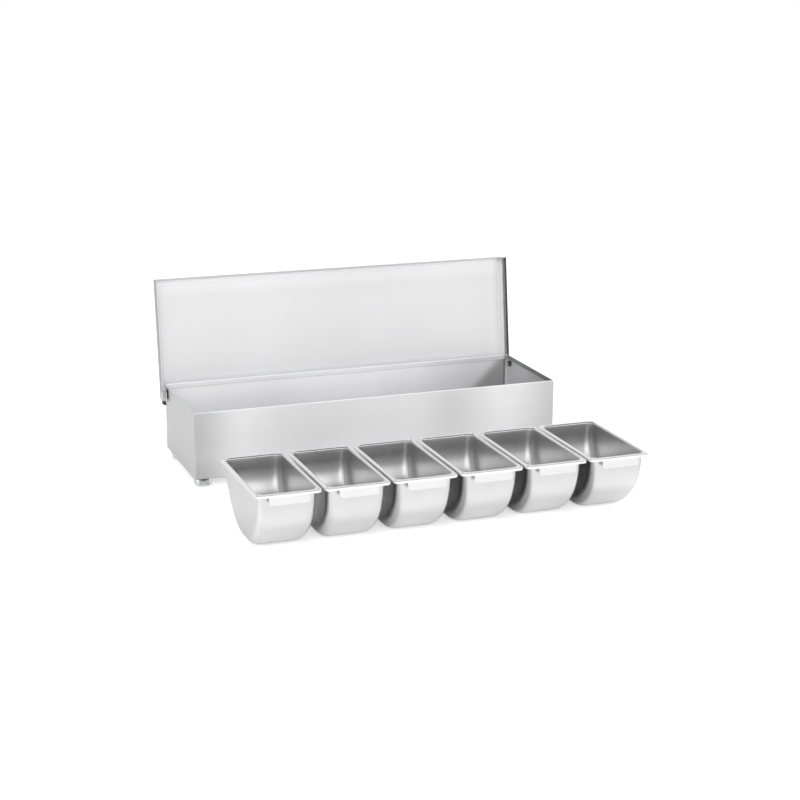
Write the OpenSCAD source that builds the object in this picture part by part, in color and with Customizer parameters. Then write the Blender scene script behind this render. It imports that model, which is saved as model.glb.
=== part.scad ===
/* [Box] */
// Length of the box over its end walls
box_w = 490; // [400:5:640]
// Depth of the box over its front and rear walls
box_d = 150; // [140:1:190]
// Height of the box without its feet
box_h = 86.5; // [82:0.5:120]
// Thickness of the box and lid sheet
sheet = 0.8; // [0.6:0.1:1.2]
// Outside radius of the long bends under the box
bend_r = 2; // [1.5:0.5:4]
// Height of the hems folded inwards along the top edges
hem_h = 6; // [4:0.5:6]
// Radius of the upper corners of the walls
corner_r = 3; // [1:0.5:4]
// Width of the end walls' weld flanges, inside the front and rear walls
weld_flange = 4; // [3:0.5:6]

/* [Lid] */
// Gap between an end wall and the lid's side skirt
lid_side_gap = 2.7; // [2:0.1:5]
// How far the lid reaches in front of the box
lid_front_over = 8.5; // [5:0.5:12]
// How far the lid reaches behind the box
lid_rear_over = 1; // [0.8:0.1:5]
// Depth of the front and side skirts
skirt_h = 16.5; // [12:0.5:24]
// Height of the skirts' lower edges over the box when the lid is shut
lid_lift = 2.5; // [1.5:0.1:6]
// Height of the hems inside the skirts
lid_hem_h = 6.5; // [4:0.5:8]
// Outside radius of the lid's bends
lid_bend_r = 1.6; // [1.3:0.1:3]
// Outside radius of the lid's corners in plan
lid_corner_r = 2; // [1.5:0.5:6]
// Angle through which the lid swings from shut to open
open_angle = 97.5; // [92:0.5:105]

/* [Hinge] */
// Distance of the pivot from the rear face of the box
pivot_in = 10.5; // [10:0.5:16]
// Distance of the pivot below the rim
pivot_drop = 10.5; // [10:0.5:16]
// Radius of the ear around the pivot
ear_r = 7; // [6.5:0.5:9]
// Radius between the ear and the skirt
ear_fillet = 5; // [3:0.5:6]
// Radius of the screw's shoulder that the ear turns on
shoulder_r = 3; // [2.5:0.1:3.2]
// Radial running clearance on the shoulder
run_clear = 0.05; // [0.02:0.01:0.1]
// Axial clearance between the ear, the spacer and the screw head
side_clear = 0.15; // [0.1:0.05:0.3]
// Radius of the plastic spacer
spacer_r = 6; // [5:0.5:6.5]

/* [Lid stops] */
// Thickness of the rubber block behind the lid
stop_t = 5.5; // [4:0.5:8]
// Length of the block along the lid
stop_w = 20; // [14:1:40]
// How far the block stands out past the rear skirt's edge
stop_proud = 1.5; // [1:0.5:3]
// Gap between the block and the rear wall when the lid is open
stop_gap = 0.3; // [0.2:0.1:0.6]
// Radius of the rivet through the block
rivet_r = 1.5; // [1:0.25:2]

/* [Feet] */
// Height of a foot
foot_h = 11.4; // [9:0.2:20]
// Radius of a foot where it meets the box
foot_top_r = 12.5; // [11:0.5:16]
// Radius of a foot on the ground
foot_base_r = 9.5; // [8.5:0.5:14]
// Distance of a foot's axis from the end wall's outside
foot_in_x = 14; // [13:0.5:40]
// Distance of a foot's axis from the front or rear face
foot_in_y = 15; // [13:0.5:30]
// Radius of the screw's recess under the foot
foot_bore_r = 6; // [5.5:0.25:7]
// Thickness of the foot over the recess
foot_web = 2.4; // [1.6:0.2:4]

/* [Pans] */
// Thickness of a pan's sheet
pan_t = 0.7; // [0.5:0.1:0.9]
// Height of a pan
pan_h = 77.5; // [70:0.5:80]
// Width of the rim along a pan's sides
side_rim = 4; // [3.4:0.1:6]
// Width of the rim along a pan's front and rear
end_rim = 5.7; // [4.5:0.1:8]
// Outside radius of the curved front and rear of the bottom
pan_bottom_r = 63; // [50:1:66]
// Outside radius of the body's edges
pan_edge_r = 11; // [8:0.5:15]
// Radius of the lip between wall and rim
pan_lip_r = 1.6; // [1.2:0.1:2]
// Radius of the rim's corners in plan
rim_corner_r = 6; // [4:0.5:8]
// Radius of the bend along the rim's edge
rim_bend_r = 1.5; // [1.2:0.1:1.8]
// Height of the rim's turned-down edge
rim_edge_h = 3.2; // [2.8:0.1:6]
// Width of the finger tab
tab_w = 47; // [30:1:55]
// Height of the finger tab
tab_h = 12; // [12:0.5:18]
// How far the tab leans out at its lower edge
tab_lean = 2; // [1:0.25:4]
// Radius of the tab's lower corners
tab_corner_r = 3; // [1.5:0.5:5]
// Free play of the six rims along the box
box_play = 18.8; // [4:0.2:30]
// Clearance of the rim's edge outside the front and rear walls
hook_clear = 0.5; // [0.3:0.1:1]

/* [Row of pans] */
// Gap between neighbouring rims in the row
row_gap = 3.75; // [0.5:0.05:20]
// Distance of the row in front of the box
row_distance = 124.8; // [40:0.2:250]
// How far the row stands to the right of the box
row_shift = -2.5; // [-60:0.1:60]

/* [Fasteners] */
// Radius of the screws' shanks
shank_r = 2; // [1.5:0.1:2.2]
// Clearance round a shank
shank_clear = 0.1; // [0.05:0.05:0.3]
// Radius of the screw heads
head_r = 4; // [3.6:0.1:4.6]
// Height of the screw heads
head_h = 2.2; // [1.6:0.1:2.6]
// Width of the nuts across their flats
nut_flats = 7; // [6:0.1:7.5]
// Height of the nuts
nut_h = 3.2; // [2.4:0.1:3.6]
// Thickness of the washers
washer_t = 0.8; // [0.5:0.1:1]

/* [Hidden] */
$fn = 64;
LEFT = -1;
RIGHT = 1;
SIDES = [LEFT, RIGHT];
FRONT = -1;
REAR = 1;
pan_count = 6;
eps = 0.01;
fit_clear = 0.03;
over = 1;
tip_h = 1;
hem_end_gap = 0.2;
washer_gap = 0.5;

// Colours
satin = [0.80, 0.81, 0.82];
bright = [0.86, 0.87, 0.88];
zinc = [0.55, 0.56, 0.58];
rubber = [0.08, 0.08, 0.09];
nylon = [0.07, 0.07, 0.07];
clear = [0.85, 0.88, 0.90, 0.45];

// Levels of the box over the ground
floor_z = foot_h;
rim_z = foot_h + box_h;

// Lid, measured from the pivot with the lid shut
pivot_y = box_d - pivot_in;
pivot_z = rim_z - pivot_drop;
lid_w = box_w + 2 * (lid_side_gap + sheet);
lid_top = pivot_drop + lid_lift + skirt_h;
lid_edge = lid_top - skirt_h;
lid_rear = pivot_in + lid_rear_over;
lid_front = -(pivot_y + lid_front_over);
lid_len = lid_rear - lid_front;
lid_mid_y = (lid_rear + lid_front) / 2;
ear_low = lid_edge + sheet;
ear_fillet_y = -ear_r - ear_fillet;
ear_corner_r = 3;
side_hem_front = lid_front + sheet;
side_hem_len = ear_fillet_y - over - side_hem_front;
side_hem_y = side_hem_front + side_hem_len / 2;

// The stop's face meets the upright rear wall when the lid is open
function stop_face(y) = (pivot_in + stop_gap - y * cos(open_angle)) / sin(open_angle);
rear_skirt_edge = stop_face(lid_rear) + stop_proud;
rivet_z = (stop_face(lid_rear) + lid_top) / 2 + 1;
rivet_head_r = 2 * rivet_r;
rivet_head_h = 0.8 * rivet_r;
rivet_tail_r = 1.4 * rivet_r;

// Pans
rim_w = (box_w - 4 * sheet - box_play) / pan_count;
rim_d = box_d + 2 * (pan_t + hook_clear);
pan_w = rim_w - 2 * side_rim;
pan_d = rim_d - 2 * end_rim;
pan_bottom_y = pan_d / 2 - pan_bottom_r;
body_h = pan_h - pan_lip_r;
row_pitch = rim_w + row_gap;
row_y = -row_distance - rim_d / 2;

// The origin is the middle of the whole arrangement, on the ground
side_reach = lid_w / 2 + side_clear + head_h;
row_half = ((pan_count - 1) * row_pitch + rim_w) / 2;
reach_right = max(side_reach, row_shift + row_half);
reach_left = min(-side_reach, row_shift - row_half);
lid_bend_y = (lid_front + lid_bend_r) * cos(open_angle) + (lid_top - lid_bend_r) * sin(open_angle);
reach_rear = pivot_y + lid_bend_y + lid_bend_r;
reach_front = row_y - rim_d / 2 - tab_lean;
mid_x = (reach_right + reach_left) / 2;
mid_y = (reach_rear + reach_front) / 2;

// Extrusions along the axes: the outline's first axis is Y or X, its second axis is Z
module along_x(length) {
    rotate([90, 0, 90]) linear_extrude(length, center = true) children();
}

module along_y(length) {
    rotate([90, 0, 0]) linear_extrude(length, center = true) children();
}

// Child made for the right end, or its mirror image for the left end
module on_side(side) {
    mirror([side == LEFT ? 1 : 0, 0, 0]) children();
}

module round_rect(w, d, r) {
    square([w - 2 * r, d], center = true);
    square([w, d - 2 * r], center = true);
    for (sx = SIDES, sy = SIDES) {
        translate([sx * (w / 2 - r), sy * (d / 2 - r)]) circle(r);
    }
}

// Rectangle on the X axis with its upper corners rounded
module arch(w, h, r) {
    intersection() {
        translate([-w / 2, 0]) square([w, h]);
        union() {
            translate([-w / 2, 0]) square([w, h - r]);
            translate([-w / 2 + r, 0]) square([w - 2 * r, h]);
            for (side = SIDES) {
                translate([side * (w / 2 - r), h - r]) circle(r);
            }
        }
    }
}

// Rectangle on the X axis with its lower corners rounded
module trough(w, h, r) {
    translate([0, h]) mirror([0, 1]) arch(w, h, r);
}

// Outline swept round a rounded rectangle: its first axis points outwards, its second is Z
module band(w, d, r) {
    for (k = [0:3]) {
        half_x = (k % 2 == 0 ? w : d) / 2;
        half_y = (k % 2 == 0 ? d : w) / 2;
        rotate([0, 0, 90 * k]) {
            translate([0, half_y, 0]) along_x(2 * (half_x - r)) children();
            translate([half_x - r, half_y - r, 0])
                rotate_extrude(angle = 90) translate([r, 0]) children();
        }
    }
}

// Inner layer of a hem and its round fold, inwards of a wall whose outer face and top are at 0
module hem_outline(h) {
    translate([sheet, -h]) square([sheet, h - sheet]);
    translate([sheet, -sheet]) circle(sheet);
}

// Domed screw head with a cross recess
module pan_head(r, h) {
    edge_h = 0.4 * h;
    recess_h = 0.55 * h;
    recess_len = 1.1 * r;
    recess_w = 0.2 * r;
    crown = h - edge_h;
    ball_r = (r * r + crown * crown) / (2 * crown);
    difference() {
        intersection() {
            cylinder(r = r, h = h);
            translate([0, 0, h - ball_r]) sphere(ball_r);
        }
        for (turn = [0, 90]) {
            rotate([0, 0, turn]) translate([-recess_len / 2, -recess_w / 2, h - recess_h])
                cube([recess_len, recess_w, h]);
        }
    }
}

module hex_prism(flats, h) {
    cylinder(r = flats / 2 / cos(30), h = h, $fn = 6);
}

// Box
module box_outline() {
    difference() {
        trough(box_d, box_h - sheet, bend_r);
        translate([0, sheet]) trough(box_d - 2 * sheet, box_h, bend_r - sheet);
    }
    translate([-box_d / 2, box_h]) hem_outline(hem_h);
    translate([box_d / 2, box_h]) mirror([1, 0]) hem_outline(hem_h);
}

module each_foot() {
    for (sx = SIDES, sy = SIDES) {
        translate([sx * (box_w / 2 - foot_in_x), box_d / 2 + sy * (box_d / 2 - foot_in_y), 0]) children();
    }
}

module box_shell() {
    color(satin) difference() {
        translate([0, box_d / 2, floor_z]) along_x(box_w - 2 * sheet) box_outline();
        for (side = SIDES) {
            on_side(side) translate([box_w / 2 - corner_r, box_d / 2, rim_z - corner_r])
                along_y(box_d + 2 * over) difference() {
                    square(corner_r + over);
                    circle(corner_r);
                }
        }
        each_foot() translate([0, 0, floor_z - over]) {
            cylinder(r = shank_r + shank_clear, h = sheet + 2 * over);
        }
    }
}

module end_wall(side) {
    flange_h = box_h - hem_h - 2 * bend_r - sheet;
    hem_len = box_d - 2 * (max(corner_r, 2 * sheet) + hem_end_gap);
    color(satin) on_side(side) difference() {
        union() {
            translate([box_w / 2 - sheet / 2, box_d / 2, floor_z]) along_x(sheet) intersection() {
                trough(box_d, box_h + corner_r, bend_r);
                arch(box_d, box_h - sheet, corner_r);
            }
            translate([box_w / 2, box_d / 2, rim_z]) along_y(hem_len) mirror([1, 0]) hem_outline(hem_h);
            for (y = [sheet, box_d - 2 * sheet]) {
                translate([box_w / 2 - sheet - weld_flange, y, floor_z + 2 * bend_r])
                    cube([weld_flange + sheet / 2, sheet, flange_h]);
            }
        }
        translate([box_w / 2 - 3 * sheet, pivot_y, pivot_z]) rotate([0, 90, 0])
            cylinder(r = shank_r + shank_clear, h = 4 * sheet);
    }
}

// Lid, in the frame of the pivot with the lid shut
module at_lid() {
    translate([0, pivot_y, pivot_z]) rotate([-open_angle, 0, 0]) children();
}

module lid_form(inset, low) {
    h = lid_top - inset - low;
    w = lid_w - 2 * inset;
    len = lid_len - 2 * inset;
    r = lid_bend_r - inset;
    translate([0, lid_mid_y, low]) intersection() {
        along_y(len) arch(w, h, r);
        along_x(w) arch(len, h, r);
        linear_extrude(h) round_rect(w, len, lid_corner_r - inset);
    }
}

// Ear in the plane of the side skirt: the pivot is at 0
module ear_outline() {
    rear = lid_rear - lid_corner_r;
    difference() {
        union() {
            circle(ear_r);
            translate([-ear_r, 0]) square([ear_r + rear, ear_low]);
            translate([0, -ear_r]) square([rear - ear_corner_r, ear_r + over]);
            translate([rear - ear_corner_r, ear_corner_r - ear_r]) circle(ear_corner_r);
            translate([rear - 2 * ear_corner_r, ear_corner_r - ear_r]) square([2 * ear_corner_r, ear_r]);
            translate([ear_fillet_y, ear_low - ear_fillet]) square([ear_fillet + over, ear_fillet]);
        }
        translate([ear_fillet_y, ear_low - ear_fillet]) circle(ear_fillet);
    }
}

module lid_sheet() {
    difference() {
        lid_form(0, ear_low);
        lid_form(sheet, ear_low - over);
        translate([0, lid_rear, rear_skirt_edge / 2])
            cube([lid_w - 2 * lid_corner_r, 4 * sheet, rear_skirt_edge], center = true);
    }
    for (side = SIDES) {
        on_side(side) {
            translate([lid_w / 2, side_hem_y, lid_edge]) along_y(side_hem_len)
                rotate(180) hem_outline(lid_hem_h);
            translate([lid_w / 2 - sheet / 2, 0, 0]) along_x(sheet) ear_outline();
        }
    }
    translate([0, lid_front, lid_edge]) along_x(lid_w - 2 * lid_corner_r)
        mirror([0, 1]) hem_outline(lid_hem_h);
}

module each_rivet() {
    for (side = SIDES) {
        translate([side * (lid_w / 2 - lid_corner_r - stop_w / 2), lid_rear, rivet_z]) children();
    }
}

module lid() {
    color(satin) at_lid() difference() {
        lid_sheet();
        rotate([0, 90, 0]) cylinder(r = shoulder_r + run_clear, h = lid_w + 2 * over, center = true);
        each_rivet() rotate([90, 0, 0]) cylinder(r = rivet_r + fit_clear, h = 4 * sheet, center = true);
    }
}

module lid_stop(side) {
    color(rubber) at_lid() difference() {
        translate([side * (lid_w / 2 - lid_corner_r - stop_w / 2), 0, 0]) along_x(stop_w)
            polygon([[lid_rear, stop_face(lid_rear)], [lid_rear + stop_t, stop_face(lid_rear + stop_t)],
                [lid_rear + stop_t, lid_top - lid_bend_r], [lid_rear, lid_top - lid_bend_r]]);
        each_rivet() rotate([-90, 0, 0]) cylinder(r = rivet_r + fit_clear, h = 2 * stop_t, center = true);
        each_rivet() translate([0, stop_t - rivet_head_h, 0]) rotate([-90, 0, 0])
            cylinder(r = rivet_head_r + fit_clear, h = stop_t);
    }
}

module lid_stop_rivets() {
    color(zinc) at_lid() each_rivet() {
        translate([0, -sheet, 0]) rotate([-90, 0, 0])
            cylinder(r = rivet_r, h = stop_t + sheet - rivet_head_h / 2);
        translate([0, stop_t - rivet_head_h, 0]) rotate([-90, 0, 0])
            cylinder(r = rivet_head_r, h = rivet_head_h);
        translate([0, -sheet - rivet_head_h, 0]) rotate([-90, 0, 0])
            cylinder(r = rivet_tail_r, h = rivet_head_h);
    }
}

// Hinge hardware for the right end, its axis along X through the pivot
module at_pivot(side) {
    on_side(side) translate([box_w / 2, pivot_y, pivot_z]) rotate([0, 90, 0]) children();
}

module hinge_screw(side) {
    tip = sheet + nut_h + tip_h;
    color(zinc) at_pivot(side) {
        translate([0, 0, -tip]) cylinder(r = shank_r, h = tip + lid_side_gap);
        translate([0, 0, lid_side_gap - side_clear]) cylinder(r = shoulder_r, h = sheet + 2 * side_clear);
        translate([0, 0, lid_side_gap + sheet + side_clear]) pan_head(head_r, head_h);
    }
}

module hinge_spacer(side) {
    color(nylon) at_pivot(side) difference() {
        cylinder(r = spacer_r, h = lid_side_gap - side_clear);
        translate([0, 0, -over]) cylinder(r = shank_r + shank_clear, h = lid_side_gap + 2 * over);
    }
}

module hinge_nut(side) {
    color(zinc) at_pivot(side) translate([0, 0, -sheet - nut_h]) nut();
}

module nut() {
    difference() {
        hex_prism(nut_flats, nut_h);
        translate([0, 0, -over]) cylinder(r = shank_r + fit_clear, h = nut_h + 2 * over);
    }
}

// Feet
module foot(sx, sy) {
    web_z = foot_h - foot_web;
    color(clear) translate([sx * (box_w / 2 - foot_in_x), box_d / 2 + sy * (box_d / 2 - foot_in_y), 0])
        difference() {
            cylinder(r1 = foot_base_r, r2 = foot_top_r, h = foot_h);
            translate([0, 0, -over]) cylinder(r = foot_bore_r, h = web_z + over);
            cylinder(r = shank_r + shank_clear, h = foot_h + over);
        }
}

module foot_screws() {
    seat_z = foot_h - foot_web - washer_t;
    shank_len = washer_t + foot_web + sheet + nut_h + tip_h;
    color(zinc) each_foot() {
        translate([0, 0, seat_z]) mirror([0, 0, 1]) pan_head(head_r, head_h);
        translate([0, 0, seat_z - eps]) cylinder(r = shank_r, h = shank_len);
    }
}

module foot_washers() {
    color(zinc) each_foot() translate([0, 0, foot_h - foot_web - washer_t]) difference() {
        cylinder(r = foot_bore_r - washer_gap, h = washer_t);
        translate([0, 0, -over]) cylinder(r = shank_r + shank_clear, h = washer_t + 2 * over);
    }
}

module foot_nuts() {
    color(zinc) each_foot() translate([0, 0, floor_z + sheet]) nut();
}

// Pan: its middle at 0, its bottom on the ground
module quarter_ring(r) {
    intersection() {
        difference() {
            circle(r);
            circle(r - pan_t);
        }
        square(r);
    }
}

// The curved strip that makes the front, bottom and rear of the body
module pan_strip() {
    along_x(pan_w - 2 * pan_edge_r) difference() {
        trough(pan_d, body_h, pan_bottom_r);
        translate([0, pan_t]) trough(pan_d - 2 * pan_t, body_h, pan_bottom_r - pan_t);
    }
}

// One side of the body with its rounded edges
module pan_side() {
    r = pan_edge_r;
    arc_r = pan_bottom_r - r;
    translate([pan_w / 2 - pan_t / 2, 0, r]) along_x(pan_t) trough(pan_d - 2 * r, body_h - r, arc_r);
    translate([pan_w / 2 - r, 0, r]) along_y(2 * pan_bottom_y) mirror([0, 1]) quarter_ring(r);
    for (end = [FRONT, REAR]) {
        translate([pan_w / 2 - r, 0, 0]) mirror([0, end == FRONT ? 1 : 0, 0]) {
            translate([0, pan_d / 2 - r, pan_bottom_r]) linear_extrude(body_h - pan_bottom_r)
                quarter_ring(r);
            translate([0, pan_bottom_y, pan_bottom_r]) rotate([90, 0, 90])
                rotate([0, 0, -90]) rotate_extrude(angle = 90) translate([arc_r, 0]) quarter_ring(r);
        }
    }
}

// Lip between wall and rim: its first axis starts at the wall's outer face, its second at the rim's top
module lip_outline() {
    translate([pan_lip_r - pan_t, -pan_lip_r]) mirror([1, 0]) quarter_ring(pan_lip_r);
}

module rim_edge_outline() {
    translate([-rim_bend_r, -rim_bend_r]) quarter_ring(rim_bend_r);
    translate([-pan_t, -rim_edge_h]) square([pan_t, rim_edge_h - rim_bend_r]);
}

module pan_rim() {
    lip_out = 2 * (pan_lip_r - pan_t);
    translate([0, 0, pan_h]) {
        band(pan_w, pan_d, pan_edge_r) lip_outline();
        translate([0, 0, -pan_t]) linear_extrude(pan_t) difference() {
            round_rect(rim_w - 2 * rim_bend_r, rim_d - 2 * rim_bend_r, rim_corner_r - rim_bend_r);
            round_rect(pan_w + lip_out, pan_d + lip_out, pan_edge_r + lip_out / 2);
        }
        band(rim_w, rim_d, rim_corner_r) rim_edge_outline();
    }
}

module pan_tab() {
    drop = tab_h - rim_edge_h;
    translate([0, -rim_d / 2, pan_h - tab_h]) intersection() {
        translate([0, -tab_lean, 0]) along_y(2 * tab_lean + 2 * pan_t) trough(tab_w, drop, tab_corner_r);
        along_x(tab_w) polygon([[-tab_lean, 0], [0, drop], [pan_t, drop], [pan_t - tab_lean, 0]]);
    }
}

module pan() {
    pan_strip();
    for (side = SIDES) {
        on_side(side) pan_side();
    }
    pan_rim();
    pan_tab();
}

module row_pan(number) {
    x = row_shift + (number - (pan_count + 1) / 2) * row_pitch;
    color(bright) translate([x, row_y, 0]) pan();
}

// Whole arrangement with its middle at the origin
module placed() {
    translate([-mid_x, -mid_y, 0]) children();
}

placed() box_shell();
placed() end_wall(LEFT);  // left_end_wall
placed() end_wall(RIGHT);  // right_end_wall
placed() lid();
placed() hinge_screw(LEFT);  // left_hinge_screw
placed() hinge_screw(RIGHT);  // right_hinge_screw
placed() hinge_spacer(LEFT);  // left_hinge_spacer
placed() hinge_spacer(RIGHT);  // right_hinge_spacer
placed() hinge_nut(LEFT);  // left_hinge_nut
placed() hinge_nut(RIGHT);  // right_hinge_nut
placed() lid_stop(LEFT);  // left_lid_stop
placed() lid_stop(RIGHT);  // right_lid_stop
placed() lid_stop_rivets();
placed() foot(LEFT, FRONT);  // front_left_foot
placed() foot(RIGHT, FRONT);  // front_right_foot
placed() foot(LEFT, REAR);  // rear_left_foot
placed() foot(RIGHT, REAR);  // rear_right_foot
placed() foot_screws();
placed() foot_washers();
placed() foot_nuts();
placed() row_pan(1);  // pan_1
placed() row_pan(2);  // pan_2
placed() row_pan(3);  // pan_3
placed() row_pan(4);  // pan_4
placed() row_pan(5);  // pan_5
placed() row_pan(6);  // pan_6
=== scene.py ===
"""Looks for the steel garnish tray with its hinged lid and six lift-out pans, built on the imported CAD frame."""
import math

import bmesh
import bpy
from mathutils import Matrix, Vector


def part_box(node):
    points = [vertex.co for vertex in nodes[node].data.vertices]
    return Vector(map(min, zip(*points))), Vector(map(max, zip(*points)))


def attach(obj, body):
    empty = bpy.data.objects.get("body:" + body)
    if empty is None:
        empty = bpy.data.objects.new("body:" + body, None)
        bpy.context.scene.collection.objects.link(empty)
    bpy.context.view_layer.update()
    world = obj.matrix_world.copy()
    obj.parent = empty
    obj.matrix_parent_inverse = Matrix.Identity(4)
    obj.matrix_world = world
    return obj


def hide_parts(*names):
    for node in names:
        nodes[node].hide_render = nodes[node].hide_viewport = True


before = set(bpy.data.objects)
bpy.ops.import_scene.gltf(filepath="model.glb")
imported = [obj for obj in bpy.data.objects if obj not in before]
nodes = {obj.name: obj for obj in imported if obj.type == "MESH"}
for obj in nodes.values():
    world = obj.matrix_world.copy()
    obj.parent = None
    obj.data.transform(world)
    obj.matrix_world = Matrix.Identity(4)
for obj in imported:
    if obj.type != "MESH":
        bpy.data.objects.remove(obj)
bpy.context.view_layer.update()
MM = 0.001
PANS = ["pan_%d" % k for k in range(1, 7)]

# Camera, as fitted to the box, the lid and the pans: angles in degrees, target and lens in millimetres, distance
# in metres
CAMERA_AZIMUTH, CAMERA_ELEVATION, CAMERA_ROLL = -20.61, 15.49, 0.37
CAMERA_TARGET = (27.01, 45.665, 90.59)
CAMERA_DISTANCE = 2.30099
SENSOR_WIDTH, FOCAL_LENGTH = 36, 80.504


def make_camera():
    azimuth, elevation, roll = (math.radians(angle) for angle in (CAMERA_AZIMUTH, CAMERA_ELEVATION, CAMERA_ROLL))
    back = Vector((math.sin(azimuth) * math.cos(elevation), -math.cos(azimuth) * math.cos(elevation),
                   math.sin(elevation)))
    level = Vector((0, 0, 1)).cross(back).normalized()
    upright = back.cross(level)
    right = math.cos(roll) * level + math.sin(roll) * upright
    up = math.cos(roll) * upright - math.sin(roll) * level
    data = bpy.data.cameras.new("camera")
    data.sensor_width = SENSOR_WIDTH
    data.lens = FOCAL_LENGTH
    data.clip_start = 0.01
    data.clip_end = 100
    camera = bpy.data.objects.new("camera", data)
    place = Matrix.Translation(Vector(CAMERA_TARGET) * MM + back * CAMERA_DISTANCE)
    camera.matrix_world = place @ Matrix((right, up, back)).transposed().to_4x4()
    bpy.context.scene.collection.objects.link(camera)
    bpy.context.scene.camera = camera


# Node helpers
AXES = {"X": (1, 0, 0), "Y": (0, 1, 0), "Z": (0, 0, 1)}
BRIGHTEST = 0.97


class Nodes:
    """Node tree of a material or a world. A mask is a socket that is 1 on an area and 0 off it."""

    def __init__(self, owner):
        self.owner = owner
        owner.use_nodes = True
        self.tree = owner.node_tree
        self.tree.nodes.clear()
        self.coords = self.add("ShaderNodeTexCoord")

    def add(self, kind, inputs=(), **settings):
        made = self.tree.nodes.new(kind)
        for key, value in settings.items():
            setattr(made, key, value)
        for key, value in dict(inputs).items():
            self.put(made.inputs[key], value)
        return made

    def put(self, socket, value):
        if isinstance(value, bpy.types.NodeSocket):
            self.tree.links.new(value, socket)
        else:
            socket.default_value = value

    def noise(self, scale, detail=2.0, roughness=0.5, offset=(0, 0, 0)):
        """Noise in the object's own space, shifted by its random number so that no two pieces look the same."""
        shift = self.math("MULTIPLY", self.add("ShaderNodeObjectInfo").outputs["Random"], 5.0)
        own = self.add("ShaderNodeVectorMath", {0: self.coords.outputs["Object"], 1: shift}, operation="ADD")
        place = self.add("ShaderNodeMapping", {"Vector": own.outputs[0], "Scale": scale, "Location": offset})
        return self.add("ShaderNodeTexNoise", {"Vector": place.outputs[0], "Scale": 1.0, "Detail": detail,
                                               "Roughness": roughness}).outputs["Fac"]

    def span(self, value, low, high, start=0.3, end=0.7):
        """Goes straight from low at start to high at end."""
        return self.add("ShaderNodeMapRange", {"Value": value, "From Min": start, "From Max": end,
                                               "To Min": low, "To Max": high}).outputs["Result"]

    def math(self, operation, a, b):
        return self.add("ShaderNodeMath", {0: a, 1: b}, operation=operation).outputs[0]

    def both(self, *masks):
        """Where all the masks overlap."""
        product = masks[0]
        for mask in masks[1:]:
            product = self.math("MULTIPLY", product, mask)
        return product

    def less(self, mask, other):
        """The mask without the other."""
        return self.math("SUBTRACT", mask, other)

    def off(self, mask):
        """Where the mask isn't."""
        return self.less(1.0, mask)

    def along(self, direction):
        """Distance along a direction of the object's own space, in metres."""
        return self.add("ShaderNodeVectorMath", {0: self.coords.outputs["Object"], 1: direction},
                        operation="DOT_PRODUCT").outputs["Value"]

    def rise(self, value, start, end, low=0.0, high=1.0):
        """Goes softly from low at start to high at end."""
        return self.add("ShaderNodeMapRange", {"Value": value, "From Min": start, "From Max": end,
                                               "To Min": low, "To Max": high},
                        interpolation_type="SMOOTHSTEP").outputs["Result"]

    def beyond(self, axis, start, end):
        """0 before start and 1 past end along an axis."""
        return self.rise(self.along(AXES[axis]), start, end)

    def between(self, value, start, end, soft):
        """1 from start to end, with borders that are twice soft wide."""
        return self.both(self.rise(value, start - soft, start + soft),
                         self.off(self.rise(value, end - soft, end + soft)))

    def facing(self, axis, sign):
        """1 on faces whose normal points along an axis, or against it with sign -1."""
        split = self.add("ShaderNodeSeparateXYZ", {0: self.add("ShaderNodeNewGeometry").outputs["Normal"]})
        return self.add("ShaderNodeMapRange", {"Value": self.math("MULTIPLY", split.outputs[axis], sign),
                                               "From Min": 0.4, "From Max": 0.7}).outputs["Result"]

    def toned(self, color, areas):
        """Painted light and shade: colour made darker or lighter on areas, which are pairs of a mask and a factor.
        """
        for mask, factor in areas:
            scale = self.add("ShaderNodeMapRange", {"Value": mask, "To Min": 1.0, "To Max": factor})
            color = self.add("ShaderNodeVectorMath", {0: color, "Scale": scale.outputs["Result"]},
                             operation="SCALE").outputs["Vector"]
        return self.add("ShaderNodeVectorMath", {0: color, 1: grey(BRIGHTEST)},
                        operation="MINIMUM").outputs["Vector"]

    def ramp(self, value, stops):
        made = self.add("ShaderNodeValToRGB", {"Fac": value})
        elements = made.color_ramp.elements
        while len(elements) < len(stops):
            elements.new(0.5)
        for element, (place, color) in zip(elements, stops):
            element.position = place
            element.color = (*color, 1)
        return made.outputs["Color"]

    def output(self, shader, kind="ShaderNodeOutputMaterial"):
        end = self.add(kind)
        self.tree.links.new(shader.outputs[0], end.inputs["Surface"])
        return self.owner


def material(name):
    return Nodes(bpy.data.materials.new(name))


def grey(level, tint=(1, 1, 1)):
    return tuple(level * part for part in tint)


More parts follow.
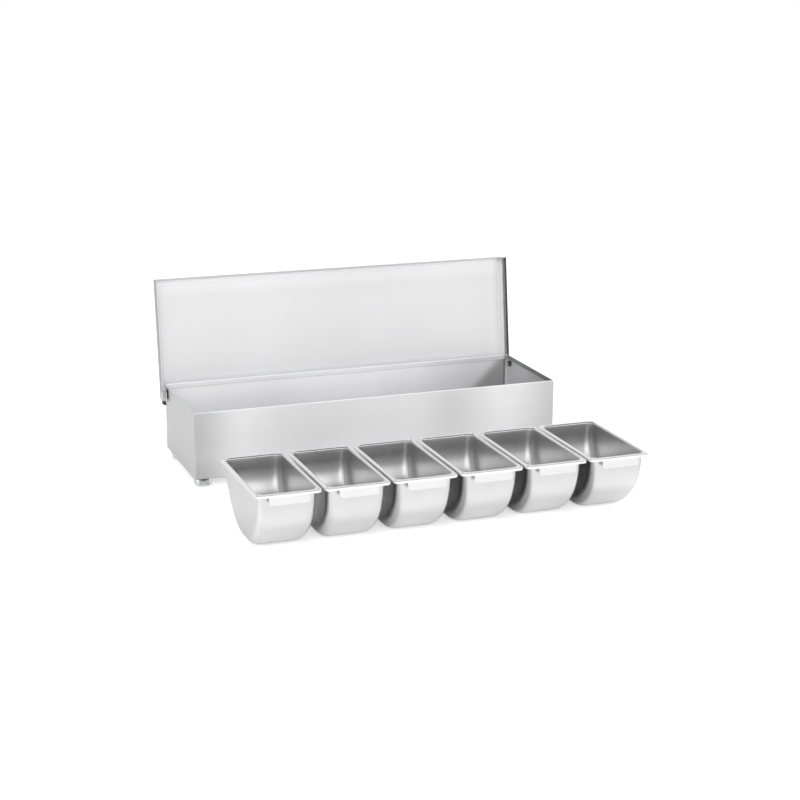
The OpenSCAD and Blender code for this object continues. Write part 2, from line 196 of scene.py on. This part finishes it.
def brushed(name, level, grain, rough, band=(9, 0.6, 0.6), swing=0.06, metal=0.45, areas=None, folds=None):
    """Brushed steel sheet: long fine grain, soft broad bands, faint wiped marks, painted light and shade on areas,
    and folds with more polish and a painted colour.
    """
    n = material(name)
    tint = (1, 1, 1.01)
    bands = n.noise(band, detail=1.0)
    fine = n.noise(grain, detail=3.0, roughness=0.6)
    marks = n.noise((14, 14, 14), detail=4.0, roughness=0.65, offset=(3, 1, 2))
    tone = n.math("ADD", n.math("MULTIPLY", bands, 0.75), n.math("MULTIPLY", fine, 0.25))
    color = n.ramp(tone, [(0.30, grey(level * (1 - swing), tint)), (0.52, grey(level, tint)),
                          (0.72, grey(min(BRIGHTEST, level * (1 + swing)), tint))])
    # Painted light and shade on the areas
    if areas:
        color = n.toned(color, areas(n))
    roughness = n.math("ADD", n.span(marks, rough - 0.04, rough + 0.05), n.span(fine, -0.03, 0.03))
    # Folds: more metal and less roughness, and a painted colour: a painted highlight on the box, a painted dark
    # reflection on the lid
    if folds:
        polish_and_painted_tone, tone = folds(n)
        metal = n.math("ADD", metal, n.math("MULTIPLY", polish_and_painted_tone, 1 - metal))
        roughness = n.math("SUBTRACT", roughness, n.math("MULTIPLY", polish_and_painted_tone, 0.1))
        color = n.add("ShaderNodeMix", {"Factor": polish_and_painted_tone, "A": color, "B": (*grey(tone), 1)},
                      data_type="RGBA").outputs["Result"]
    bump = n.add("ShaderNodeBump", {"Height": fine, "Strength": 0.05, "Distance": 0.2 * MM})
    shader = n.add("ShaderNodeBsdfPrincipled", {"Base Color": color, "Metallic": metal, "Roughness": roughness,
                                                "Anisotropic": 0.35, "Normal": bump.outputs[0]})
    return n.output(shader)


def drawn(name, level, rough, metal, areas=None):
    """Bright deep-drawn steel: nearly smooth, with faint drawing lines and a little waviness."""
    n = material(name)
    cloud = n.noise((22, 22, 12), detail=2.0)
    lines = n.noise((260, 260, 25), detail=1.0)
    color = n.ramp(cloud, [(0.3, grey(level * 0.965)), (0.7, grey(min(BRIGHTEST, level * 1.02)))])
    if areas:
        color = n.toned(color, areas(n))
    roughness = n.math("ADD", n.span(cloud, rough - 0.02, rough + 0.02), n.span(lines, -0.01, 0.01))
    bump = n.add("ShaderNodeBump", {"Height": lines, "Strength": 0.005, "Distance": 0.2 * MM})
    shader = n.add("ShaderNodeBsdfPrincipled", {"Base Color": color, "Metallic": metal, "Roughness": roughness,
                                                "Normal": bump.outputs[0]})
    return n.output(shader)


def zinc(name, level):
    """Plated steel with a fine speck."""
    n = material(name)
    tint = (0.98, 1, 1.03)
    speck = n.noise((900, 900, 900), detail=3.0)
    color = n.ramp(speck, [(0.35, grey(level * 0.85, tint)), (0.7, grey(level * 1.1, tint))])
    bump = n.add("ShaderNodeBump", {"Height": speck, "Strength": 0.1, "Distance": 0.1 * MM})
    shader = n.add("ShaderNodeBsdfPrincipled", {"Base Color": color, "Metallic": 1.0,
                                                "Roughness": n.span(speck, 0.28, 0.42), "Normal": bump.outputs[0]})
    return n.output(shader)


def rubber(name):
    """Matt black rubber with a little dust."""
    n = material(name)
    grain = n.noise((700, 700, 700), detail=4.0, roughness=0.7)
    dust = n.noise((60, 60, 60), detail=3.0)
    color = n.ramp(dust, [(0.35, grey(0.012)), (0.75, grey(0.03))])
    bump = n.add("ShaderNodeBump", {"Height": grain, "Strength": 0.25, "Distance": 0.2 * MM})
    shader = n.add("ShaderNodeBsdfPrincipled", {"Base Color": color, "Roughness": n.span(grain, 0.6, 0.8),
                                                "Normal": bump.outputs[0]})
    return n.output(shader)


def nylon(name):
    """Black moulded plastic with a fine grain."""
    n = material(name)
    grain = n.noise((500, 500, 500), detail=3.0)
    color = n.ramp(grain, [(0.3, grey(0.02)), (0.7, grey(0.045))])
    bump = n.add("ShaderNodeBump", {"Height": grain, "Strength": 0.1, "Distance": 0.1 * MM})
    shader = n.add("ShaderNodeBsdfPrincipled", {"Base Color": color, "Roughness": n.span(grain, 0.4, 0.5),
                                                "Normal": bump.outputs[0]})
    return n.output(shader)


def clear_plastic(name):
    """Clear moulded plastic with slight flow marks."""
    n = material(name)
    flow = n.noise((140, 140, 60), detail=2.0)
    color = n.ramp(flow, [(0.3, (0.74, 0.75, 0.76)), (0.7, (0.84, 0.85, 0.85))])
    bump = n.add("ShaderNodeBump", {"Height": flow, "Strength": 0.08, "Distance": 0.4 * MM})
    shader = n.add("ShaderNodeBsdfPrincipled", {"Base Color": color, "Roughness": n.span(flow, 0.03, 0.08),
                                                "IOR": 1.4, "Transmission Weight": 0.9,
                                                "Normal": bump.outputs[0]})
    return n.output(shader)


make_camera()

# Scales of a grain that runs along the sheet
ALONG_X = (5, 1500, 1500)
ALONG_Y = (1500, 5, 1500)

# Places on the folded sheets, in metres
HALF_BOX = (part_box("right_end_wall")[1][0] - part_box("left_end_wall")[0][0]) / 2
HALF_LID = (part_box("lid")[1][0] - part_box("lid")[0][0]) / 2
RIM_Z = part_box("box_shell")[1][2]
FRONT_Y, REAR_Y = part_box("box_shell")[0][1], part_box("box_shell")[1][1]
HEM_Z = RIM_Z - 6 * MM
FLANGE_X = HALF_BOX - 4 * MM

# The open lid: directions through it and up along it, its hinge, and distances from the hinge
LID_LEAN = math.radians(97.5)
LID_DEPTH = (0, math.sin(LID_LEAN), math.cos(LID_LEAN))
LID_RISE = (0, -math.cos(LID_LEAN), math.sin(LID_LEAN))
LID_PIVOT = Vector(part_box("right_hinge_nut")[0]).lerp(Vector(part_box("right_hinge_nut")[1]), 0.5)
SKIRT_EDGE, LID_TOP, LID_FRONT = 13 * MM, 29.5 * MM, 148 * MM


def box_painted_light(n):
    """Painted reflections, light and shade: on the rear wall's inner face a painted reflection of the right end
    wall near the corner, with painted shade and light round its hem; on the front, painted shade at its ends and
    in two soft bands.
    """
    across, upright = n.along(AXES["X"]), n.along(AXES["Z"])
    toward_front = n.facing("Y", -1)
    at_rear = n.beyond("Y", REAR_Y - 20 * MM, REAR_Y - 10 * MM)
    rear, front = n.both(toward_front, at_rear), n.less(toward_front, at_rear)
    left = n.off(n.beyond("X", -HALF_BOX, -0.72 * HALF_BOX))
    low = n.off(n.beyond("Z", RIM_Z - 80 * MM, RIM_Z - 55 * MM))
    hem = n.beyond("Z", HEM_Z - 0.6 * MM, HEM_Z + 0.2 * MM)
    corner_start = HALF_BOX - RIM_Z - 22 * MM
    corner = n.rise(n.along((1, 0, -1)), corner_start, corner_start + 24 * MM)
    return [
        # Rear wall: painted shade towards the corner and low down, painted light under the hem, a painted
        # reflection in the corner, a painted shadow line at the hem's edge, and a darker line on the flange
        (n.both(rear, n.beyond("X", 0.35 * HALF_BOX, 0.98 * HALF_BOX)), 0.74),
        (n.both(rear, n.off(n.beyond("Z", RIM_Z - 55 * MM, RIM_Z - 15 * MM))), 0.84),
        (n.both(rear, n.less(n.beyond("Z", HEM_Z - 20 * MM, HEM_Z - 1 * MM), hem)), 1.08),
        (n.both(rear, n.less(corner, hem)), 0.5),
        (n.both(rear, n.between(upright, HEM_Z - 1.2 * MM, HEM_Z, 0.3 * MM)), 0.8),
        (n.both(rear, n.beyond("X", FLANGE_X - 4 * MM, FLANGE_X - 3 * MM)), 0.6),
        # Top folds: painted highlight
        (n.beyond("Z", RIM_Z - 1.4 * MM, RIM_Z - 0.8 * MM), 1.2),
        # Front wall: painted shade on the left end and its lower part, two broad soft bands of painted reflection,
        # painted shade on the right end
        (n.both(front, left), 0.64),
        (n.both(front, low, left), 0.82),
        (n.both(front, n.between(across, 85 * MM, 120 * MM, 35 * MM)), 0.86),
        (n.both(front, n.between(across, -120 * MM, -80 * MM, 40 * MM)), 0.96),
        (n.both(front, n.beyond("X", 0.66 * HALF_BOX, 1.04 * HALF_BOX)), 0.6),
    ]


def box_folds(n):
    """Rear half of the front wall's top fold, given more polish and a painted bright grey as a highlight, as a
    mask and a grey.
    """
    rear_half = n.less(n.beyond("Y", FRONT_Y + 0.8 * MM, FRONT_Y + 1.2 * MM),
                       n.beyond("Y", FRONT_Y + 10 * MM, FRONT_Y + 20 * MM))
    return n.both(rear_half, n.beyond("Z", RIM_Z - 2 * MM, RIM_Z - 1.2 * MM)), 0.93


def end_painted_light(n):
    """Painted light, shade and reflections on the right end wall's inner face: lighter overall, darker along its
    hem, by the rear corner and towards the front.
    """
    inner = n.both(n.facing("X", -1), n.beyond("X", 0.0, 10 * MM))
    hem = n.beyond("Z", HEM_Z - 0.8 * MM, HEM_Z + 0.8 * MM)
    corner = n.beyond("Y", REAR_Y - 3.5 * MM, REAR_Y - 2.5 * MM)
    near_front = n.off(n.beyond("Y", FRONT_Y, FRONT_Y + 130 * MM))
    return [(inner, 1.1), (n.both(inner, hem), 0.42), (n.both(inner, corner), 0.7),
            (n.both(inner, near_front), 0.5)]


def from_hinge(n, direction):
    """Distance from the hinge along a direction of the open lid."""
    return n.math("SUBTRACT", n.along(direction), LID_PIVOT.dot(Vector(direction)))


def lid_painted_light(n):
    """Painted reflections and light: the skirts carry painted reflections of darker parts of the room than the
    panel does, and the panel is painted lighter near them.
    """
    depth, height = from_hinge(n, LID_DEPTH), from_hinge(n, LID_RISE)
    toward_left = n.facing("X", -1)
    inner = n.both(toward_left, n.beyond("X", HALF_LID - 3 * MM, HALF_LID - 2 * MM))
    outer = n.less(toward_left, n.beyond("X", 0.0, 10 * MM))
    panel = n.both(n.facing("Y", -1), n.rise(depth, LID_TOP - 4 * MM, LID_TOP - 2 * MM))
    ear = n.both(outer, n.off(n.rise(height, -1 * MM, 1 * MM)))
    return [
        # Right skirt's inner face, painted reflection and shade: all of it, its part before the fold, a dark line
        # on it
        (inner, 0.8),
        (n.both(inner, n.off(n.rise(depth, LID_TOP - 5 * MM, LID_TOP - 3 * MM))), 0.6),
        (n.both(inner, n.between(depth, LID_TOP - 7.5 * MM, LID_TOP - 5 * MM, 0.6 * MM)), 0.35),
        # Front skirt's edge: painted shade
        (n.less(n.rise(height, LID_FRONT - 2 * MM, LID_FRONT - 1 * MM), n.rise(depth, 15 * MM, 17 * MM)), 0.82),
        # Left skirt's outer face: painted shade; its ear: a painted highlight in the middle and painted shade at
        # the rear
        (outer, 0.66),
        (n.both(ear, n.between(depth, 12 * MM, 23 * MM, 1 * MM)), 1.5),
        (n.both(ear, n.rise(depth, 23 * MM, 26 * MM)), 0.6),
        # Panel: painted light along the hinge, then towards the right skirt and the front skirt
        (n.both(panel, n.off(n.rise(height, 4 * MM, 22 * MM))), 1.16),
        (n.both(panel, n.beyond("X", HALF_LID - 30 * MM, HALF_LID - 10 * MM)), 1.1),
        (n.both(panel, n.beyond("X", HALF_LID - 9 * MM, HALF_LID - 6 * MM)), 1.3),
        (n.both(panel, n.rise(height, LID_FRONT - 30 * MM, LID_FRONT - 10 * MM)), 1.1),
        (n.both(panel, n.rise(height, LID_FRONT - 10 * MM, LID_FRONT - 6 * MM)), 1.15),
    ]


def lid_folds(n):
    """Edge of the right skirt, given more polish and a near-black painted reflection, as a mask and a grey."""
    edge = n.off(n.rise(from_hinge(n, LID_DEPTH), SKIRT_EDGE + 4 * MM, SKIRT_EDGE + 6 * MM))
    return n.both(edge, n.beyond("X", HALF_LID - 3 * MM, HALF_LID - 2 * MM)), 0.05


def pan_painted_light(n):
    """Painted light and shade: softer side walls, even end walls with a painted lighter lower front, and painted
    shade and a painted reflection of the neighbour on left walls where the next pan stands close.
    """
    toward_left = n.facing("X", -1)
    left_side = n.off(n.beyond("X", -30 * MM, -25 * MM))
    left_wall = n.both(toward_left, left_side)
    right_wall = n.both(n.facing("X", 1), n.beyond("X", 25 * MM, 30 * MM))
    front_wall = n.both(n.facing("Y", -1), n.off(n.beyond("Y", -70 * MM, -60 * MM)))
    high = n.beyond("Z", 15 * MM, 65 * MM)
    place = n.add("ShaderNodeSeparateXYZ", {0: n.add("ShaderNodeObjectInfo").outputs["Location"]})
    in_row = n.rise(place.outputs["X"], -205 * MM, 60 * MM)
    return [
        # Inner face of the right wall: painted shade
        (n.both(toward_left, n.off(left_side)), 0.9),
        # Outer faces: painted light on the left wall, painted shade on it where the next pan stands close, painted
        # shade on the right wall, and on the front wall painted shade high up and painted light low down
        (left_wall, 1.08),
        (n.both(left_wall, in_row), 0.44),
        (right_wall, 0.82),
        (n.both(front_wall, high), 0.93),
        (n.both(front_wall, n.off(high)), 1.4),
    ]


def tab_painted_shade(n):
    """Painted shade: the tab is painted darker than the rim above it."""
    return [(n.both(n.facing("Y", -1), n.off(n.beyond("Z", 73.5 * MM, 74.5 * MM))), 0.8)]


box_steel = brushed("box_steel", 0.90, ALONG_X, 0.36, metal=0.3, areas=box_painted_light, folds=box_folds)
end_steel = brushed("end_steel", 0.68, ALONG_Y, 0.36, band=(0.6, 12, 0.6), areas=end_painted_light)
lid_steel = brushed("lid_steel", 0.72, ALONG_X, 0.36, band=(6, 0.5, 0.5), swing=0.03, metal=0.3, areas=lid_painted_light,
                    folds=lid_folds)
pan_steel = drawn("pan_steel", 0.68, 0.235, 0.88, areas=pan_painted_light)
# Rims and tabs: a rougher copy of the pan's steel whose lighter colour is painted light
rim_steel = drawn("rim_steel", 0.84, 0.34, 0.55, areas=tab_painted_shade)
zinc_plate = zinc("zinc_plate", 0.55)
black_rubber = rubber("black_rubber")
black_nylon = nylon("black_nylon")
dark_zinc = zinc("dark_zinc", 0.12)
black_screw = zinc("black_screw", 0.04)
foot_plastic = clear_plastic("foot_plastic")


# Looks of the pieces that keep their CAD shape: the first word found in a piece's name counts
LOOKS = (("foot_screws", black_screw), ("screw", zinc_plate), ("rivet", zinc_plate), ("nut", dark_zinc),
         ("washer", dark_zinc), ("spacer", black_nylon), ("stop", black_rubber), ("foot", foot_plastic),
         ("end_wall", end_steel), ("box_shell", box_steel), ("lid", lid_steel))
for node, piece in nodes.items():
    look = next((made for word, made in LOOKS if word in node), None)
    if look:
        piece.data.materials.clear()
        piece.data.materials.append(look)


# Pan, in millimetres about its own middle: rings of the surface that faces up and inwards
PAN_H, PAN_T = 77.5, 0.7
PAN_X, PAN_Y = 35.0 - PAN_T, 70.5 - PAN_T
BOTTOM_R = 63.2 - PAN_T
TOP_R, LOW_R = 8.0, 14.0
TAPER, LEAN_IN, LEAN_FADE = 1.5, 0.6, 20
LIP_R, BEND_R = 1.6, 1.5
RIM_X, RIM_Y, RIM_R, RIM_EDGE = 39.0, 76.2, 6.0, 3.2
TAB_W, TAB_H, TAB_LEAN, TAB_R = 47.0, 12.0, 2.0, 3.0
# Numbers of faces: on the straight sides of a ring, round its corners, down a bend, down the wall, over the bottom
ACROSS, ALONG, TURN, BEND, WALL, BOTTOM, TAB_TURN = 10, 24, 8, 5, 4, 36, 6
QUARTER = math.pi / 2
SHARP = math.radians(38)


def ring(half_x, half_y, r, z, rise=(1.0, 0.0)):
    """Loop round a rounded rectangle; rise is the direction in (y, z) in which its corners turn inwards."""
    ny, nz = rise
    points = []
    for side_x, side_y in ((1, -1), (1, 1), (-1, 1), (-1, -1)):
        swap = side_x * side_y > 0
        corner = []
        for k in range(TURN + 1):
            angle = QUARTER * k / TURN
            inset = r * (1 - math.cos(angle))
            corner.append((side_x * (half_x - r + r * math.sin(angle)), side_y * (half_y - ny * inset),
                           z + nz * inset))
        if swap:
            corner.reverse()
        points.append(corner)
    loop = []
    for k, corner in enumerate(points):
        loop += corner
        start, end = corner[-1], points[(k + 1) % 4][0]
        steps = ALONG if k % 2 == 0 else ACROSS
        loop += [tuple(a + (b - a) * j / steps for a, b in zip(start, end)) for j in range(1, steps)]
    return loop


def drafted(point):
    """The body narrows a little towards its bottom."""
    x, y, z = point
    drop = max(0.0, (PAN_H - z) / PAN_H)
    lean = LEAN_IN * drop * min(1, abs(y) / LEAN_FADE)
    return (x * (1 - TAPER / PAN_X * drop), y - math.copysign(lean, y), z)


def pan_rings():
    """Rings from the lower border of the rim's edge, over the rim and its lip, down to the bottom's middle."""
    rings = []
    for k in range(BEND + 1):
        rings.append(ring(RIM_X, RIM_Y, RIM_R, PAN_H - RIM_EDGE + (RIM_EDGE - BEND_R) * k / BEND))
    for k in range(1, BEND + 1):
        angle = QUARTER * k / BEND
        out = BEND_R * (math.cos(angle) - 1)
        rings.append(ring(RIM_X + out, RIM_Y + out, RIM_R + out, PAN_H - BEND_R * (1 - math.sin(angle))))
    for k in range(BEND + 1):
        angle = QUARTER * (1 - k / BEND)
        out = LIP_R * (1 - math.cos(angle))
        rings.append(ring(PAN_X + out, PAN_Y + out, TOP_R + out, PAN_H - LIP_R * (1 - math.sin(angle))))
    wall_top, wall_low = PAN_H - LIP_R, BOTTOM_R + PAN_T
    levels = [(PAN_Y, wall_top + (wall_low - wall_top) * k / WALL, 0.0) for k in range(1, WALL + 1)]
    for k in range(1, BOTTOM + 1):
        angle = QUARTER * k / BOTTOM
        levels.append((PAN_Y - BOTTOM_R * (1 - math.cos(angle)), wall_low - BOTTOM_R * math.sin(angle), angle))
    for half_y, z, angle in levels:
        # The corners reach their full radius a little above the bottom
        r = TOP_R + (LOW_R - TOP_R) * min(1.0, 1.3 * (PAN_H - z) / PAN_H)
        rings.append([drafted(p) for p in ring(PAN_X, half_y, r, z, (math.cos(angle), math.sin(angle)))])
    return rings


def pan_mesh():
    """Thin shell of the rings, closed along the bottom's middle, with a tab; rim and tab take the second material.

    It is made in millimetres and scaled to metres at the end.
    """
    bm = bmesh.new()
    loops = [[bm.verts.new(p) for p in loop] for loop in pan_rings()]
    count = len(loops[0])
    for low, high in zip(loops, loops[1:]):
        for k in range(count):
            bm.faces.new((low[k], low[(k + 1) % count], high[(k + 1) % count], high[k]))
    last = loops[-1]
    width = 2 * TURN + ACROSS + 1
    front = [last[(k - TURN - ACROSS) % count] for k in range(width)]
    rear = [last[(TURN + ALONG + k) % count] for k in range(width)][::-1]
    rows = [front]
    for j in range(1, ALONG):
        rows.append([bm.verts.new(a.co.lerp(b.co, j / ALONG)) for a, b in zip(front, rear)])
    rows.append(rear)
    for a, b in zip(rows, rows[1:]):
        for k in range(len(a) - 1):
            bm.faces.new((a[k], a[k + 1], b[k + 1], b[k]))
    bmesh.ops.remove_doubles(bm, verts=bm.verts[:], dist=0.001)
    bmesh.ops.dissolve_degenerate(bm, edges=bm.edges[:], dist=0.0005)
    bmesh.ops.recalc_face_normals(bm, faces=bm.faces[:])
    lowest = min(bm.faces, key=lambda f: f.calc_center_median().z)
    if lowest.normal.z < 0:
        bmesh.ops.reverse_faces(bm, faces=bm.faces[:])
    bm.normal_update()
    thicken(bm, PAN_T)
    add_tab(bm)
    for face in bm.faces:
        face.smooth = True
        middle = face.calc_center_median()
        outside = max(abs(middle.x) - PAN_X, abs(middle.y) - PAN_Y)
        if middle.z > PAN_H - TAB_H and outside > LIP_R:
            face.material_index = 1
    bmesh.ops.scale(bm, vec=(MM, MM, MM), verts=bm.verts[:])
    mesh = bpy.data.meshes.new("pan")
    bm.to_mesh(mesh)
    bm.free()
    mesh.set_sharp_from_angle(angle=SHARP)
    return mesh


def thicken(bm, thickness):
    """Adds the outer surface and the strip that joins both along the border."""
    faces = bm.faces[:]
    borders = [(edge, edge.link_faces[0]) for edge in bm.edges if len(edge.link_faces) == 1]
    outer = {v: bm.verts.new(v.co - v.normal * thickness) for v in bm.verts[:]}
    for face in faces:
        bm.faces.new([outer[v] for v in reversed(face.verts[:])])
    for edge, face in borders:
        a, b = edge.verts
        ordered = face.verts[:]
        if ordered[(ordered.index(a) + 1) % len(ordered)] is not b:
            a, b = b, a
        bm.faces.new((b, a, outer[a], outer[b]))


def add_tab(bm):
    """Finger tab with rounded lower corners, hanging from the front edge and leaning out."""
    drop = TAB_H - RIM_EDGE
    outline = [(-TAB_W / 2, drop), (TAB_W / 2, drop)]
    for side, start in ((1, 0.0), (-1, QUARTER)):
        for k in range(TAB_TURN + 1):
            angle = start + QUARTER * k / TAB_TURN
            outline.append((side * (TAB_W / 2 - TAB_R) + TAB_R * math.cos(angle), TAB_R - TAB_R * math.sin(angle)))
    faces = []
    for back in (0.0, PAN_T):
        faces.append([bm.verts.new((x, -RIM_Y - TAB_LEAN * (drop - z) / drop + back, PAN_H - TAB_H + z))
                      for x, z in outline])
    front, rear = faces
    made = [bm.faces.new(front[::-1]), bm.faces.new(rear)]
    for k in range(len(outline)):
        j = (k + 1) % len(outline)
        made.append(bm.faces.new((front[k], front[j], rear[j], rear[k])))
    bmesh.ops.recalc_face_normals(bm, faces=made)


def make_pans():
    mesh = pan_mesh()
    mesh.materials.append(pan_steel)
    mesh.materials.append(rim_steel)
    for name in PANS:
        low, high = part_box(name)
        pan = bpy.data.objects.new("drawn_" + name, mesh)
        bpy.context.scene.collection.objects.link(pan)
        pan.location = ((low[0] + high[0]) / 2, high[1] - RIM_Y * MM, 0)
        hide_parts(name)
        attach(pan, name)


make_pans()


# Floor, lamps and world
FLOOR_SIZE = 8
# Glow of the floor for the camera, and a painted glow in front of the row that only reflections see
FLOOR_GLOW, FLOOR_PAINTED_GLOW_AHEAD = 0.55, 0.3


def stage():
    """Pale floor that looks white to the camera and, in the pans' mirror only, has a painted glow in front of the
    row.
    """
    corners = [(x * FLOOR_SIZE, y * FLOOR_SIZE, 0) for x, y in ((-1, -1), (1, -1), (1, 1), (-1, 1))]
    mesh = bpy.data.meshes.new("floor")
    mesh.from_pydata(corners, [], [(0, 1, 2, 3)])
    floor = bpy.data.objects.new("floor", mesh)
    bpy.context.scene.collection.objects.link(floor)
    n = material("floor_white")
    cloud = n.noise((3, 3, 3), detail=2.0)
    base = n.add("ShaderNodeBsdfDiffuse", {"Color": n.ramp(cloud, [(0.3, grey(0.84)), (0.7, grey(0.86))])})
    path = n.add("ShaderNodeLightPath").outputs
    seen = n.math("MAXIMUM", path["Is Camera Ray"], path["Is Transmission Ray"])
    row_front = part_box(PANS[0])[0][1]
    # Painted glow in front of the row, seen only in the pans' reflections
    mirrored = n.both(path["Is Glossy Ray"], n.off(n.beyond("Y", row_front + 30 * MM, row_front + 90 * MM)))
    strength = n.math("ADD", n.math("MULTIPLY", seen, FLOOR_GLOW), n.math("MULTIPLY", mirrored, FLOOR_PAINTED_GLOW_AHEAD))
    glow = n.add("ShaderNodeEmission", {"Color": (1, 1, 1, 1), "Strength": strength})
    surface = n.add("ShaderNodeAddShader", {0: base.outputs[0], 1: glow.outputs[0]})
    mesh.materials.append(n.output(surface))


def lamp(name, place, aim, size, power):
    """Rectangular lamp that isn't seen in the steel."""
    data = bpy.data.lights.new(name, "AREA")
    data.shape = "RECTANGLE"
    data.size, data.size_y = size
    data.energy = power
    obj = bpy.data.objects.new(name, data)
    obj.location = place
    obj.rotation_euler = (Vector(aim) - Vector(place)).to_track_quat("-Z", "Y").to_euler()
    bpy.context.scene.collection.objects.link(obj)
    obj.visible_glossy = False


def surroundings():
    """White for the camera, softer as light; mirrored surfaces see a dark ceiling and bright walls."""
    world = bpy.data.worlds.new("studio")
    bpy.context.scene.world = world
    n = Nodes(world)
    path = n.add("ShaderNodeLightPath").outputs
    seen = n.math("MAXIMUM", path["Is Camera Ray"], path["Is Glossy Ray"])
    seen = n.math("MAXIMUM", seen, path["Is Transmission Ray"])
    level = n.span(seen, 0.75, 1.0, 0.0, 1.0)
    direction = n.add("ShaderNodeSeparateXYZ", {0: n.coords.outputs["Generated"]}).outputs
    ceiling = n.rise(direction["Z"], 0.45, 0.75, 1.0, 0.02)
    front = n.rise(direction["Y"], 0.0, -0.8, 1.0, 1.6)
    room = n.math("MULTIPLY", ceiling, front)
    mirrored = n.add("ShaderNodeMix", {"Factor": path["Is Glossy Ray"], "A": 1.0, "B": room})
    strength = n.math("MULTIPLY", level, mirrored.outputs["Result"])
    n.output(n.add("ShaderNodeBackground", {"Color": (1, 1, 1, 1), "Strength": strength}), "ShaderNodeOutputWorld")


stage()
lamp("key", (-0.7, -2.1, 1.3), (0, 0, 0.08), (1.6, 1.2), 26)
lamp("top", (0.3, 0.2, 2.4), (0, 0, 0), (1.8, 1.2), 12)
surroundings()
bpy.context.scene.view_settings.view_transform = "Standard"
